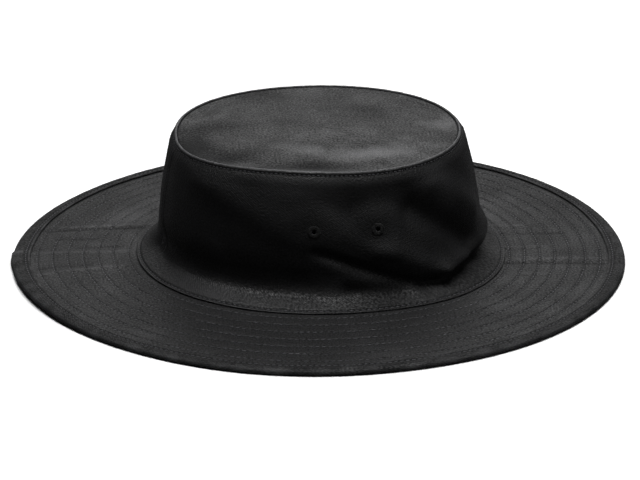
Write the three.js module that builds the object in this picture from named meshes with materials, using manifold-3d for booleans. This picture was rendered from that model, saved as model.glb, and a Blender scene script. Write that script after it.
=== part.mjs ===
import * as THREE from 'three';
import { mergeVertices } from 'three/addons/utils/BufferGeometryUtils.js';
import Module from 'manifold-3d';

// A wide-brim cricket hat in black cotton drill, lying on its brim.
// Millimetres and degrees, +Z up. +X is the front of the hat, +Y the wearer's left.
// The origin is on the surface that the hat lies on, below the middle of the brim.

// Driving dimensions
const GAP = 0.3;
const CROWN_CLOTH = 1.2;
const BRIM_CLOTH = 1.3;
const TAPE_CLOTH = 1.0;
const TAPE_WIDTH = 8;
const RIM_HALF_LENGTH = 172;
const LIP_HALF_LENGTH = 98;
const LIP_RISE_AT_BACK = 2.2;
const CROWN_FORWARD = 1.2;
const CROWN_LEAN = 1.8;
const CROWN_TWIST = 5;
const CROWN_HEIGHT = 76;
const BAND_RADIUS = 82;
const TIP_HALF_LENGTH = 77.5;
const TIP_DOME = 3.2;
const SEGMENTS = 72;
const TAPE_LAP = { angle: 180, spread: 4, thickness: 0.6 };

// Ovals that the pieces follow: a ring with this half length has this half width, and
// stands out of a true ellipse by these shares halfway round its front and back quarters.
const OVALS = [
  { halfLength: 0, halfWidth: 0, frontFullness: 0.022, backFullness: 0.028 },
  { halfLength: 77.5, halfWidth: 64.0, frontFullness: 0.022, backFullness: 0.028 },
  { halfLength: 92, halfWidth: 76.4, frontFullness: 0.025, backFullness: 0.02 },
  { halfLength: 103.4, halfWidth: 87.0, frontFullness: 0.037, backFullness: 0.01 },
  { halfLength: 172, halfWidth: 153.6, frontFullness: 0.008, backFullness: -0.013 },
];

// Side band of the crown at its front end, from under the tip down to the brim.
const BAND_SECTIONS = [
  { height: 74.4, halfLength: 75.0 },
  { height: 74.4, halfLength: 77.5 },
  { height: 73.8, halfLength: 79.8 },
  { height: 71.4, halfLength: 81.8 },
  { height: 66.6, halfLength: 83.2 },
  { height: 59.0, halfLength: 84.9 },
  { height: 49.0, halfLength: 86.8 },
  { height: 37.0, halfLength: 88.8 },
  { height: 25.0, halfLength: 90.2 },
  { height: 17.0, halfLength: 91.2 },
  { height: 11.5, halfLength: 92.8 },
  { height: 7.6, halfLength: 95.6 },
  { height: 5.2, halfLength: 99.4 },
  { height: 4.1, halfLength: 103.4 },
];
const BAND_ROWS = 14;

// Where the top edge of the crown sags (rise < 0) or stands (rise > 0), fading down the band.
const CROWN_EDGE = [
  { angle: -165, rise: -0.9, spread: 22 },
  { angle: -110, rise: 1.6, spread: 26 },
  { angle: -62, rise: -0.6, spread: 24 },
  { angle: 90, rise: 1.6, spread: 55 },
];

// Folds of the right side of the band: a ridge (depth > 0) or a valley (depth < 0)
// along a line from its first angle and height to its second, fading over its spread.
const BAND_FOLDS = [
  { name: 'rear tuck', angles: [-158, -100], heights: [17, 17], depth: -2.6, spread: 8 },
  { name: 'rear ridge', angles: [-142, -106], heights: [70, 46], depth: 1.4, spread: 10 },
  { name: 'upper hollow', angles: [-86, -60], heights: [62, 63], depth: -1.5, spread: 8 },
  { name: 'front hollow', angles: [-55, -32], heights: [60, 30], depth: -2.2, spread: 8 },
  { name: 'upper roll', angles: [-95, -70], heights: [54, 42], depth: 1.4, spread: 9 },
  { name: 'lower roll', angles: [-70, -48], heights: [42, 22], depth: 2.6, spread: 8 },
  { name: 'crease below', angles: [-96, -64], heights: [36, 16], depth: -2.8, spread: 6 },
  { name: 'front tuck', angles: [-60, -24], heights: [12, 13], depth: -2.4, spread: 6 },
  { name: 'front overhang', angles: [-40, -14], heights: [22, 21], depth: 1.8, spread: 6 },
];

// Shallow dents of the tip, at an angle and a share of the way from its middle to its edge.
const TIP_DENTS = [
  { angle: -165, share: 0.72, depth: -1.4, spread: 15 },
  { angle: -75, share: 0.45, depth: -0.8, spread: 18 },
  { angle: -62, share: 0.86, depth: 0.5, spread: 9 },
  { angle: 10, share: 0.6, depth: -0.9, spread: 16 },
];

// Gentle waves of the brim between the crown and the tape.
const BRIM_WAVES = [
  { angle: -172, lift: 0.9, spread: 9 },
  { angle: -150, lift: -0.4, spread: 8 },
  { angle: -8, lift: 0.8, spread: 8 },
  { angle: 24, lift: -0.4, spread: 10 },
];

const EYELET = { hole: 1.2, barrel: 2.2, flange: 4, thickness: 0.8, opening: 2.6, height: 45.5, sides: 12 };
const EYELETS = [
  { name: 'eyelet_right_rear', angle: -95.5 },
  { name: 'eyelet_right_front', angle: -73 },
  { name: 'eyelet_left_rear', angle: 106 },
  { name: 'eyelet_left_front', angle: 83.5 },
];

const drill = new THREE.MeshStandardMaterial({ color: 0x1d1d1f, roughness: 0.92, metalness: 0 });
const brimDrill = new THREE.MeshStandardMaterial({ color: 0x202022, roughness: 0.92, metalness: 0 });
const tape = new THREE.MeshStandardMaterial({ color: 0x19191b, roughness: 0.88, metalness: 0 });
const thread = new THREE.MeshStandardMaterial({ color: 0x141416, roughness: 0.6, metalness: 0 });

const hat = new THREE.Group();

function place(name, geometry, material) {
  const mesh = new THREE.Mesh(geometry, material);
  mesh.name = name;
  hat.add(mesh);
}

// Half width and fullness, at an angle, of the ring that has this half length.
function ovalOf(halfLength, turn) {
  const next = OVALS.findIndex((oval, index) => index > 0 && halfLength <= oval.halfLength);
  const index = next < 0 ? OVALS.length - 1 : next;
  const [lower, upper] = [OVALS[index - 1], OVALS[index]];
  const share = (halfLength - lower.halfLength) / (upper.halfLength - lower.halfLength);
  const front = THREE.MathUtils.lerp(lower.frontFullness, upper.frontFullness, share);
  const back = THREE.MathUtils.lerp(lower.backFullness, upper.backFullness, share);
  const fullness = THREE.MathUtils.lerp(back, front, THREE.MathUtils.smoothstep(Math.cos(turn), -0.7, 0.7));
  return { halfWidth: THREE.MathUtils.lerp(lower.halfWidth, upper.halfWidth, share), fullness };
}

// Signed difference of two angles, between -180 and 180.
function turnBetween(angle, other) {
  return THREE.MathUtils.euclideanModulo(angle - other + 180, 360) - 180;
}

// Bell curve that is 1 at distance 0 and fades over the spread.
function bell(distance, spread) {
  return Math.exp(-((distance / spread) ** 2));
}

// Place on the flattened-out band, in millimetres around and up.
function bandSheetPlace(angle, height) {
  return new THREE.Vector3(angle * THREE.MathUtils.DEG2RAD * BAND_RADIUS, height, 0);
}

// How far the folds alone move the band out of its plain oval at an angle and a height.
function foldDepth(angle, height) {
  let depth = 0;
  for (const fold of BAND_FOLDS) {
    const from = bandSheetPlace(0, fold.heights[0]);
    const to = bandSheetPlace(fold.angles[1] - fold.angles[0], fold.heights[1]);
    const here = bandSheetPlace(turnBetween(angle, fold.angles[0]), height);
    const nearest = new THREE.Line3(from, to).closestPointToPoint(here, true, new THREE.Vector3());
    depth += fold.depth * bell(nearest.distanceTo(here), fold.spread);
  }
  const { smoothstep } = THREE.MathUtils;
  return depth * smoothstep(height, 5, 13) * smoothstep(CROWN_HEIGHT - height, 2, 12);
}

// Offset of the band: its folds, evened out where an eyelet stiffens the cloth.
function bandOffset(angle, height) {
  let offset = foldDepth(angle, height);
  for (const eyelet of EYELETS) {
    const away = bandSheetPlace(turnBetween(angle, eyelet.angle), height - EYELET.height).length();
    const stiff = 1 - THREE.MathUtils.smoothstep(away, EYELET.flange + 3, EYELET.flange + 10);
    offset = THREE.MathUtils.lerp(offset, foldDepth(eyelet.angle, EYELET.height), stiff);
  }
  return offset;
}

// Closed section of a sheet of cloth: its outer line, and back along its inner side.
function sheetSection(outerLine, thickness) {
  const innerLine = outerLine.map((point, index) => {
    const before = outerLine[Math.max(index - 1, 0)];
    const after = outerLine[Math.min(index + 1, outerLine.length - 1)];
    const along = after.clone().sub(before).normalize();
    const offset = point.x === 0 ? 0 : along.y * thickness;
    return new THREE.Vector2(point.x + offset, point.y - along.x * thickness);
  });
  return [...outerLine, ...innerLine.reverse()];
}

// Ring of a closed section around +Z. reshape moves each of its points, given as
// half length, angle and height, and returns its place.
function ring(section, segments, reshape) {
  const closed = section[0].x === 0 ? section : [...section, section[0]];
  const geometry = new THREE.LatheGeometry(closed.toReversed(), segments);
  geometry.rotateX(Math.PI / 2);
  const position = geometry.getAttribute('position');
  for (let index = 0; index < position.count; index += 1) {
    const corner = new THREE.Vector3().fromBufferAttribute(position, index);
    const angle = THREE.MathUtils.RAD2DEG * Math.atan2(corner.y, corner.x);
    const placed = reshape(Math.hypot(corner.x, corner.y), Math.round(angle * 1e6) / 1e6, corner.z);
    position.setXYZ(index, placed.x, placed.y, placed.z);
  }
  return geometry;
}

// Place on the oval ring of a half length.
function ovalPlace(halfLength, angle, height) {
  const turn = THREE.MathUtils.DEG2RAD * angle;
  const { halfWidth, fullness } = ovalOf(halfLength, turn);
  const full = 1 + fullness * (1 - Math.cos(4 * turn)) / 2;
  return new THREE.Vector3(full * halfLength * Math.cos(turn), full * halfWidth * Math.sin(turn), height);
}

// How much higher than at the front the inner edge of the brim lies at an angle.
function lipRise(angle) {
  return LIP_RISE_AT_BACK * (1 - Math.cos(THREE.MathUtils.DEG2RAD * angle)) / 2;
}

// Place on the crown, which leans back a little and whose top edge sags here and there.
function crownPlace(halfLength, angle, height) {
  const spot = ovalPlace(halfLength, angle, height);
  const edge = CROWN_EDGE.reduce(
    (sum, row) => sum + row.rise * bell(turnBetween(angle, row.angle), row.spread),
    0,
  );
  spot.x += CROWN_FORWARD - CROWN_LEAN * height / CROWN_HEIGHT;
  const inTip = Math.min(1, halfLength / TIP_HALF_LENGTH);
  spot.z += edge * THREE.MathUtils.smoothstep(height, 20, 70) * inTip ** 2;
  spot.z += lipRise(angle) * (1 - THREE.MathUtils.smoothstep(height, 8, 50));
  return spot;
}

// Place on the band, with its folds.
function bandPlace(halfLength, angle, height) {
  return crownPlace(halfLength + bandOffset(angle, height), angle, height);
}

// Solids for joining and cutting
const wasm = await Module();
wasm.setup();

function solidOf(geometry) {
  const bare = geometry.index ? geometry.toNonIndexed() : geometry.clone();
  bare.deleteAttribute('normal');
  bare.deleteAttribute('uv');
  const merged = mergeVertices(bare, 1e-4);
  return new wasm.Manifold(new wasm.Mesh({
    numProp: 3,
    vertProperties: new Float32Array(merged.getAttribute('position').array),
    triVerts: new Uint32Array(merged.getIndex().array),
  }));
}

function geometryOf(solid) {
  const mesh = solid.getMesh();
  const geometry = new THREE.BufferGeometry();
  geometry.setAttribute('position', new THREE.BufferAttribute(mesh.vertProperties, 3));
  geometry.setIndex(new THREE.BufferAttribute(mesh.triVerts, 1));
  geometry.computeVertexNormals();
  return geometry;
}

// Side band: one ring of cloth, cut at the front and back seams into two panels.
const bandCurve = new THREE.CatmullRomCurve3(
  BAND_SECTIONS.map((row) => new THREE.Vector3(row.halfLength, row.height, 0)),
);
const bandLine = bandCurve.getSpacedPoints(BAND_ROWS).map((point) => new THREE.Vector2(point.x, point.y));
const band = solidOf(ring(sheetSection(bandLine, CROWN_CLOTH), SEGMENTS, bandPlace));

// Half length of the band at a height, from its section line.
function bandHalfLength(height) {
  const below = bandLine.findIndex((point) => point.y <= height);
  const share = (height - bandLine[below].y) / (bandLine[below - 1].y - bandLine[below].y);
  return THREE.MathUtils.lerp(bandLine[below].x, bandLine[below - 1].x, share);
}

// Matrix that stands +Z on the band's outer side at an angle and a height.
function bandSeat(angle, height) {
  const step = 2.5;
  const at = (turn, rise) => bandPlace(bandHalfLength(height + rise), angle + turn, height + rise);
  const around = at(step, 0).sub(at(-step, 0)).normalize();
  const up = at(0, step).sub(at(0, -step)).normalize();
  const out = around.clone().cross(up).normalize();
  return new THREE.Matrix4().makeBasis(around, out.clone().cross(around), out).setPosition(at(0, 0));
}

let openBand = band;
for (const { angle } of EYELETS) {
  const punch = new THREE.CylinderGeometry(EYELET.opening, EYELET.opening, 12, EYELET.sides);
  punch.rotateX(Math.PI / 2);
  punch.applyMatrix4(bandSeat(angle, EYELET.height));
  openBand = openBand.subtract(solidOf(punch));
}

for (const [name, side] of [['side_panel_right', -1], ['side_panel_left', 1]]) {
  const half = new THREE.BoxGeometry(260, 120, 200);
  half.translate(0, side * (60 + GAP / 2), 50);
  half.rotateZ(THREE.MathUtils.DEG2RAD * CROWN_TWIST);
  place(name, geometryOf(openBand.intersect(solidOf(half))), drill);
}

// Tip: a shallow dome whose edge lies on the turned-in top of the band.
const tipEdge = BAND_SECTIONS[0].height + GAP + CROWN_CLOTH;
const tipRings = [0, 0.3, 0.55, 0.78, 0.93, 1];
const tipLine = tipRings.map((share) => (
  new THREE.Vector2(TIP_HALF_LENGTH * share, tipEdge + TIP_DOME * (1 - share ** 2) ** 1.5)
));

function tipPlace(halfLength, angle, height) {
  const level = crownPlace(halfLength, angle, height);
  for (const dent of TIP_DENTS) {
    const centre = crownPlace(TIP_HALF_LENGTH * dent.share, dent.angle, height);
    const fade = THREE.MathUtils.smoothstep(TIP_HALF_LENGTH - halfLength, 0, 12);
    level.z += fade * dent.depth * bell(Math.hypot(level.x - centre.x, level.y - centre.y), dent.spread);
  }
  return level;
}

place('crown_tip', ring(sheetSection(tipLine, CROWN_CLOTH), SEGMENTS, tipPlace), drill);

// Brim: one flat oval of cloth, from the lip under the band to inside the tape.
const brimBottom = TAPE_CLOTH + GAP;
const brimEdge = RIM_HALF_LENGTH - TAPE_CLOTH - GAP;
const brimLine = [0, 0.1, 0.35, 0.65, 0.9, 1].map((share) => new THREE.Vector2(
  THREE.MathUtils.lerp(LIP_HALF_LENGTH, brimEdge, share),
  brimBottom + BRIM_CLOTH,
));

function brimPlace(halfLength, angle, height) {
  const share = (halfLength - LIP_HALF_LENGTH) / (brimEdge - LIP_HALF_LENGTH);
  const { smoothstep } = THREE.MathUtils;
  const free = smoothstep(share, 0.12, 0.4) * smoothstep(0.88 - share, 0, 0.25);
  const wave = BRIM_WAVES.reduce(
    (sum, row) => sum + row.lift * bell(turnBetween(angle, row.angle), row.spread),
    0,
  );
  const slope = lipRise(angle) * Math.max(0, 1 - share / 0.85);
  return ovalPlace(halfLength, angle, height + slope + free * wave);
}

place('brim', ring(sheetSection(brimLine, BRIM_CLOTH), SEGMENTS, brimPlace), brimDrill);

// Binding: tape folded over the edge of the brim, its ends lapped at the back.
const tapeTop = 2 * TAPE_CLOTH + 2 * GAP + BRIM_CLOTH;
const tapeInner = RIM_HALF_LENGTH - TAPE_WIDTH;
const tapeLine = [
  new THREE.Vector2(tapeInner, tapeTop),
  new THREE.Vector2(RIM_HALF_LENGTH - 1, tapeTop),
  new THREE.Vector2(RIM_HALF_LENGTH, tapeTop - 1),
  new THREE.Vector2(RIM_HALF_LENGTH, 1),
  new THREE.Vector2(RIM_HALF_LENGTH - 1, 0),
  new THREE.Vector2(tapeInner, 0),
];
const tapeHollow = [
  new THREE.Vector2(tapeInner, TAPE_CLOTH),
  new THREE.Vector2(RIM_HALF_LENGTH - TAPE_CLOTH, TAPE_CLOTH),
  new THREE.Vector2(RIM_HALF_LENGTH - TAPE_CLOTH, tapeTop - TAPE_CLOTH),
  new THREE.Vector2(tapeInner, tapeTop - TAPE_CLOTH),
];

function tapePlace(halfLength, angle, height) {
  const isTop = height > tapeTop - TAPE_CLOTH / 2;
  const lap = isTop ? TAPE_LAP.thickness * bell(turnBetween(angle, TAPE_LAP.angle), TAPE_LAP.spread) : 0;
  return ovalPlace(halfLength, angle, height + lap);
}

place('brim_binding', ring([...tapeLine, ...tapeHollow], SEGMENTS, tapePlace), tape);

// Eyelets: thread worked round a hole, over the outer and the inner side of the cloth.
const outer = GAP + EYELET.thickness;
const inner = -CROWN_CLOTH - GAP - EYELET.thickness;
const softEdge = 0.4;
const eyeletSection = [
  new THREE.Vector2(EYELET.hole, inner + softEdge),
  new THREE.Vector2(EYELET.hole + softEdge, inner),
  new THREE.Vector2(EYELET.flange - softEdge, inner),
  new THREE.Vector2(EYELET.flange, -CROWN_CLOTH - GAP),
  new THREE.Vector2(EYELET.barrel, -CROWN_CLOTH - GAP),
  new THREE.Vector2(EYELET.barrel, GAP),
  new THREE.Vector2(EYELET.flange, GAP),
  new THREE.Vector2(EYELET.flange - softEdge, outer),
  new THREE.Vector2(EYELET.hole + softEdge, outer),
  new THREE.Vector2(EYELET.hole, outer - softEdge),
];

for (const { name, angle } of EYELETS) {
  const geometry = new THREE.LatheGeometry([...eyeletSection, eyeletSection[0]], EYELET.sides);
  geometry.rotateX(Math.PI / 2);
  geometry.applyMatrix4(bandSeat(angle, EYELET.height));
  place(name, geometry, thread);
}

export default hat;
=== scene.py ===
import math

import bmesh
import bpy
from mathutils import Matrix, Vector, noise


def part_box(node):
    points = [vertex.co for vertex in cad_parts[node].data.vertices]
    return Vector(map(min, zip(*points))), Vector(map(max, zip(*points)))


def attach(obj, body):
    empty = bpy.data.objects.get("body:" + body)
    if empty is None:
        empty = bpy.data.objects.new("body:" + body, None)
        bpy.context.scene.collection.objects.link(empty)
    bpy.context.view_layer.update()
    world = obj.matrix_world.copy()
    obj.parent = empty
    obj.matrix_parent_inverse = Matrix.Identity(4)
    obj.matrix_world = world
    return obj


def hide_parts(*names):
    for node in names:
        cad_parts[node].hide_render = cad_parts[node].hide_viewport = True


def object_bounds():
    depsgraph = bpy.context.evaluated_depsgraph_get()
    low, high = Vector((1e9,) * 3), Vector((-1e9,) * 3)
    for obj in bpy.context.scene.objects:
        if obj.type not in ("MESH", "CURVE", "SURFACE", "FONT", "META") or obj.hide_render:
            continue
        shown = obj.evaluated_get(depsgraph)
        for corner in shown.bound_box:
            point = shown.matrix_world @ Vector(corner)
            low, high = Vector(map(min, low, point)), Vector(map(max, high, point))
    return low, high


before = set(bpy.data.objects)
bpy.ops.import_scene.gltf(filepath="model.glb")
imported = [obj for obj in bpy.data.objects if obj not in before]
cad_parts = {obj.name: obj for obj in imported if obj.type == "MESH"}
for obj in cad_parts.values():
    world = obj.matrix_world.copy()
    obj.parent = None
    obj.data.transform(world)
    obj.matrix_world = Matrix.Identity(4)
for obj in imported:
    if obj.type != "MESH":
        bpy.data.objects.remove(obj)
cad_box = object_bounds()
MM = 0.001


def table(names, *rows):
    """Rows of values, each by the names given."""
    return [dict(zip(names.split(), row)) for row in rows]


# Camera: a long lens that looks down at the hat's right side from a little behind it. The hat
# faces +X, its right side is -Y, and angles round it are in degrees from +X towards +Y.
CAMERA_ELEVATION = 23.0
CAMERA_AZIMUTH = -4.5
CAMERA_DISTANCE = 1580 * MM
LENS = 159.2
CROWN_MIDDLE = 35 * MM
LOOKED_AT = Vector((0.6 * MM, 0, 9 * MM))


def turn_to(piece, target):
    """Turns a camera or lamp so that it looks at a point."""
    piece.rotation_euler = (target - piece.location).to_track_quat("-Z", "Y").to_euler()


azimuth, elevation = math.radians(CAMERA_AZIMUTH), math.radians(CAMERA_ELEVATION)
camera = bpy.data.objects.new("camera", bpy.data.cameras.new("camera"))
camera.data.lens = LENS
camera.data.clip_end = 100
camera.location = CAMERA_DISTANCE * Vector((
    math.sin(azimuth) * math.cos(elevation),
    -math.cos(azimuth) * math.cos(elevation),
    math.sin(elevation),
)) + Vector((0, 0, CROWN_MIDDLE))
turn_to(camera, LOOKED_AT)
bpy.context.scene.collection.objects.link(camera)
bpy.context.scene.camera = camera
bpy.context.scene.view_settings.view_transform = "Standard"

# Studio, in metres: a white paper floor and dim walls, with a broad softbox overhead, one behind the
# hat and a faint one at its right, so that cloth that faces up is lit and cloth that stands stays
# dark. The floor throws back less light than it shows, and far off it fades into the walls.
FLOOR_WIDTH = 60
FLOOR_BELOW = 0.05 * MM
FLOOR_SHOWN = (1.5, 1.5, 1.5, 1)
FLOOR_BOUNCE = "3a3a3a"
FLOOR_FADES = {"From Min": 0.7, "From Max": 1.3}
PAPER_FIBRES_PER_MM = 0.9
PAPER_RELIEF = 0.2 * MM
WALL_COLOUR = "e6e6e6"
WALL_GLOW = 0.01


def srgb(code):
    """Linear colour, with its alpha, of an sRGB hex code."""
    shares = [int(code[index:index + 2], 16) / 255 for index in (0, 2, 4)]
    return [
        share / 12.92 if share <= 0.04045 else ((share + 0.055) / 1.055) ** 2.4
        for share in shares
    ] + [1]


def add(tree, kind, values=None, links=None, **settings):
    """Adds a shader node with its settings, and the values of its sockets and their links: each
    from an output, or from a node for its first output."""
    made = tree.nodes.new("ShaderNode" + kind)
    for name, value in settings.items():
        setattr(made, name, value)
    for socket, value in (values or {}).items():
        made.inputs[socket].default_value = value
    for socket, source in (links or {}).items():
        output = source.outputs[0] if isinstance(source, bpy.types.Node) else source
        tree.links.new(output, made.inputs[socket])
    return made


def new_material(name):
    """A material without nodes, and its node tree."""
    material = bpy.data.materials.new(name)
    material.use_nodes = True
    material.node_tree.nodes.clear()
    return material, material.node_tree


paper, tree = new_material("white_paper_matt")
fibres = add(tree, "TexNoise", {"Scale": PAPER_FIBRES_PER_MM / MM, "Detail": 3})
bump = add(tree, "Bump", {"Strength": 0.05, "Distance": PAPER_RELIEF}, {"Height": fibres})
seen = add(tree, "LightPath")
white = add(tree, "Mix", {"A": srgb(FLOOR_BOUNCE), "B": FLOOR_SHOWN}, {"Factor": seen}, data_type="RGBA")
near = add(tree, "BsdfDiffuse", {"Roughness": 0.5}, {"Color": white.outputs["Result"], "Normal": bump})
place = add(tree, "TexCoord")
away = add(tree, "VectorMath", links={0: place.outputs["Object"]}, operation="LENGTH")
fade = add(tree, "MapRange", FLOOR_FADES, {"Value": away.outputs["Value"]}, interpolation_type="SMOOTHSTEP")
seen_far = add(tree, "Math", links={0: fade, 1: seen}, operation="MULTIPLY")
far = add(tree, "Emission", {"Color": srgb(WALL_COLOUR)})
faded = add(tree, "MixShader", links={0: seen_far, 1: near, 2: far})
add(tree, "OutputMaterial", links={"Surface": faded})

bm = bmesh.new()
bmesh.ops.create_grid(bm, x_segments=1, y_segments=1, size=FLOOR_WIDTH / 2)
floor = bpy.data.objects.new("floor", bpy.data.meshes.new("floor"))
bm.to_mesh(floor.data)
bm.free()
floor.data.materials.append(paper)
bpy.context.scene.collection.objects.link(floor)
floor.location.z = cad_box[0].z - FLOOR_BELOW

SOFTBOXES = table(
    "name at aim wide deep watts",
    ("overhead", (0.0, -0.2, 1.7), (0, 0, 0), 1.4, 0.8, 23),
    ("behind", (0.4, 2.0, 1.55), (0, 0, 0.05), 2.0, 1.6, 21),
    ("right", (1.6, -1.1, 1.0), (0, 0, 0.05), 0.8, 0.8, 1.8),
)
for box in SOFTBOXES:
    lamp = bpy.data.objects.new(box["name"], bpy.data.lights.new(box["name"], "AREA"))
    lamp.data.shape = "RECTANGLE"
    lamp.data.size, lamp.data.size_y = box["wide"], box["deep"]
    lamp.data.energy = box["watts"]
    lamp.location = box["at"]
    turn_to(lamp, Vector(box["aim"]))
    lamp.visible_camera = False
    bpy.context.scene.collection.objects.link(lamp)

world = bpy.data.worlds.new("walls")
bpy.context.scene.world = world
world.use_nodes = True
tree = world.node_tree
tree.nodes.clear()
seen = add(tree, "LightPath")
glow = add(tree, "Background", {"Color": srgb(WALL_COLOUR), "Strength": WALL_GLOW})
shown = add(tree, "Background", {"Color": srgb(WALL_COLOUR), "Strength": 1.0})
walls = add(tree, "MixShader", links={0: seen, 1: glow, 2: shown})
add(tree, "OutputWorld", links={"Surface": walls})

# Brim: two layers of cotton drill over a light interfacing, cut as a flat oval ring and held
# together by seven rounds of lockstitch. It lies flat, with a few creases left from packing.
RIM_HALF_LENGTH = (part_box("brim_binding")[1].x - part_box("brim_binding")[0].x) / 2 / MM
LIP_HALF_LENGTH = 98
LIP_RISE_AT_BACK = 2.2
TAPE_CLOTH = 1.0
GAP = 0.3
BRIM_CLOTH = 1.3
BRIM_BOTTOM = TAPE_CLOTH + GAP
BRIM_MIDDLE = BRIM_BOTTOM + BRIM_CLOTH / 2
BRIM_TOP = BRIM_BOTTOM + BRIM_CLOTH
BRIM_EDGE = RIM_HALF_LENGTH - 2.6
BRIM_STEPS = 720
FIRST_ROUND = 107.0
ROUND_PITCH = 8.52
ROUNDS = 7
ROUND_DIP = 0.34
ROUND_DIP_WIDTH = 0.55
ROUND_PUFF = 0.1
STITCH_LENGTH = 3.3
THREAD_RADIUS = 0.26
THREAD_PROUD = 0.08

# Unevenness of the cloth: its slack, its pucker, the closer pucker along a round of stitches, the
# wander of a round, and the mottling of its nap. Here and below it is (amount, size of its lumps in
# millimetres, seed), or without a seed where every round, seam or eyelet has its own.
BRIM_SLACK = (0.2, 24, 7.1)
BRIM_PUCKER = (0.12, 4.5, 3.3)
ROUND_PUCKER = (0.2, 1.9, 6.6)
ROUND_PUCKER_WIDTH = 1.6
ROUND_WANDER = (0.25, 4)
BRIM_MOTTLE = (0.14, 17, 2.6)

# Pieces are made round, in millimetres, and then moved to their places on these ovals. A ring with
# this half length has this half width, and stands out of a true ellipse by these shares halfway
# round its front and back quarters.
OVALS = table(
    "half_length half_width front back",
    (0, 0, 0.022, 0.028),
    (77.5, 64.0, 0.022, 0.028),
    (92, 76.4, 0.025, 0.02),
    (103.4, 87.0, 0.037, 0.01),
    (172, 153.6, 0.008, -0.013),
)

# Gentle waves between the crown and the tape.
BRIM_WAVES = table(
    "angle lift spread",
    (-172, 0.9, 9),
    (-150, -0.4, 8),
    (-8, 0.8, 8),
    (24, -0.4, 10),
)

# Creases: straight, from one half length and angle to another. lift is the height of a ridge, or
# below 0 the depth of a valley.
BRIM_CREASES = table(
    "from to lift spread",
    ((160, 164.2), (106, 156.4), -0.5, 2.0),
    ((152, 161.8), (104, 153.0), 0.45, 2.2),
    ((150, 168.5), (128, 168.0), -0.4, 3.0),
    ((138, 174.0), (112, 173.6), -0.45, 2.0),
    ((163, 177.0), (108, 178.4), 0.5, 2.6),
    ((160, -169.9), (112, -169.6), 0.6, 2.0),
    ((158, -173.6), (130, -173.0), -0.4, 2.6),
    ((106, -16.6), (163, -12.4), -0.5, 2.0),
    ((112, -13.4), (160, -9.8), 0.4, 2.4),
    ((117, -23.4), (134, -21.2), 0.45, 2.0),
    ((104, 17.0), (124, 13.6), 0.5, 2.0),
    ((106, 9.0), (140, 6.4), -0.4, 2.4),
    ((105, -3.0), (128, -3.3), 0.5, 2.0),
)
CREASE_REACH = 12

# The rim stands a little off the floor at the back right, from one half length out to another.
RIM_LIFT = {"angle": -162, "turn": 15, "rise": 2.0, "from": 118, "to": 168}

# Wear and painted light: how much the ridges are painted paler and smoother, a painted highlight, how
#  much the nap stands up in valleys and along the rounds, and broad places painted paler, a painted sheen.
RIDGE_HIGHLIGHT = 0.42
VALLEY_NAP = 1.3
CREASE_HIGHLIGHT_AND_NAP_WIDTH = 0.6
ROUND_NAP = {"back": 0.35, "elsewhere": 0.9, "width": 0.75}
BRIM_SHEEN_PATCHES = table(
    "angle turn half_length spread wear",
    (30, 15, 118, 16, 0.16),
    (147, 15, 122, 16, 0.16),
)


def blend(low, high, share):
    """The value a share of the way from low to high."""
    return low + (high - low) * share


def smoothstep(value, low, high):
    """0 up to low, 1 from high on, and a smooth rise between them."""
    share = min(max((value - low) / (high - low), 0), 1)
    return share * share * (3 - 2 * share)


def bell(distance, spread):
    """1 at distance 0, fading over the spread."""
    return math.exp(-((distance / spread) ** 2))


def turn_between(angle, other):
    """Signed difference of two angles in degrees, between -180 and 180."""
    return (angle - other + 180) % 360 - 180


def rough(across, along, amount, lumps, seed):
    """Smooth unevenness of up to the amount, up or down, in lumps of about this size."""
    return amount * noise.noise(Vector((across / lumps, along / lumps, seed)))


def oval_place(half_length, angle, height):
    """Place on the oval ring of a half length, in millimetres."""
    last = len(OVALS) - 1
    index = next((i for i in range(1, last) if half_length <= OVALS[i]["half_length"]), last)
    lower, upper = OVALS[index - 1], OVALS[index]
    share = (half_length - lower["half_length"]) / (upper["half_length"] - lower["half_length"])
    turn = math.radians(angle)
    front = blend(lower["front"], upper["front"], share)
    back = blend(lower["back"], upper["back"], share)
    fullness = blend(back, front, smoothstep(math.cos(turn), -0.7, 0.7))
    full = 1 + fullness * (1 - math.cos(4 * turn)) / 2
    half_width = blend(lower["half_width"], upper["half_width"], share)
    return Vector((full * half_length * math.cos(turn), full * half_width * math.sin(turn), height))


def lip_rise(angle):
    """How much higher than at the front the inner edge of the brim lies at an angle."""
    return LIP_RISE_AT_BACK * (1 - math.cos(math.radians(angle))) / 2


def from_line(place, start, end):
    """How far a flat place is from a straight line between two others."""
    along = end - start
    share = min(max((place - start).dot(along) / along.length_squared, 0), 1)
    return (place - start - along * share).length


for crease in BRIM_CREASES:
    crease["ends"] = [oval_place(*crease[key], 0) for key in ("from", "to")]


def creases_near(place, angle):
    """Each crease that a place may lie on, and how far the place is from its line."""
    flat = Vector((place.x, place.y, 0))
    for crease in BRIM_CREASES:
        if abs(turn_between(angle, crease["from"][1])) < CREASE_REACH:
            yield crease, from_line(flat, *crease["ends"])


def rim_lift(half_length, angle):
    """How far the rim stands off the floor."""
    rise = RIM_LIFT["rise"] * bell(turn_between(angle, RIM_LIFT["angle"]), RIM_LIFT["turn"])
    return rise * smoothstep(half_length, RIM_LIFT["from"], RIM_LIFT["to"])


def brim_lift(place, half_length, angle):
    """Height that waves, creases and the slope to the crown add to the flat brim at a place."""
    share = (half_length - LIP_HALF_LENGTH) / (BRIM_EDGE - LIP_HALF_LENGTH)
    free = smoothstep(share, 0.12, 0.4) * smoothstep(0.88 - share, 0, 0.25)
    lift = lip_rise(angle) * max(0, 1 - share / 0.85) + rim_lift(half_length, angle)
    for wave in BRIM_WAVES:
        lift += free * wave["lift"] * bell(turn_between(angle, wave["angle"]), wave["spread"])
    clear_of_tape = smoothstep(BRIM_EDGE - half_length, 5, 11)
    for crease, off in creases_near(place, angle):
        lift += clear_of_tape * crease["lift"] * bell(off, crease["spread"])
    return lift


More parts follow.
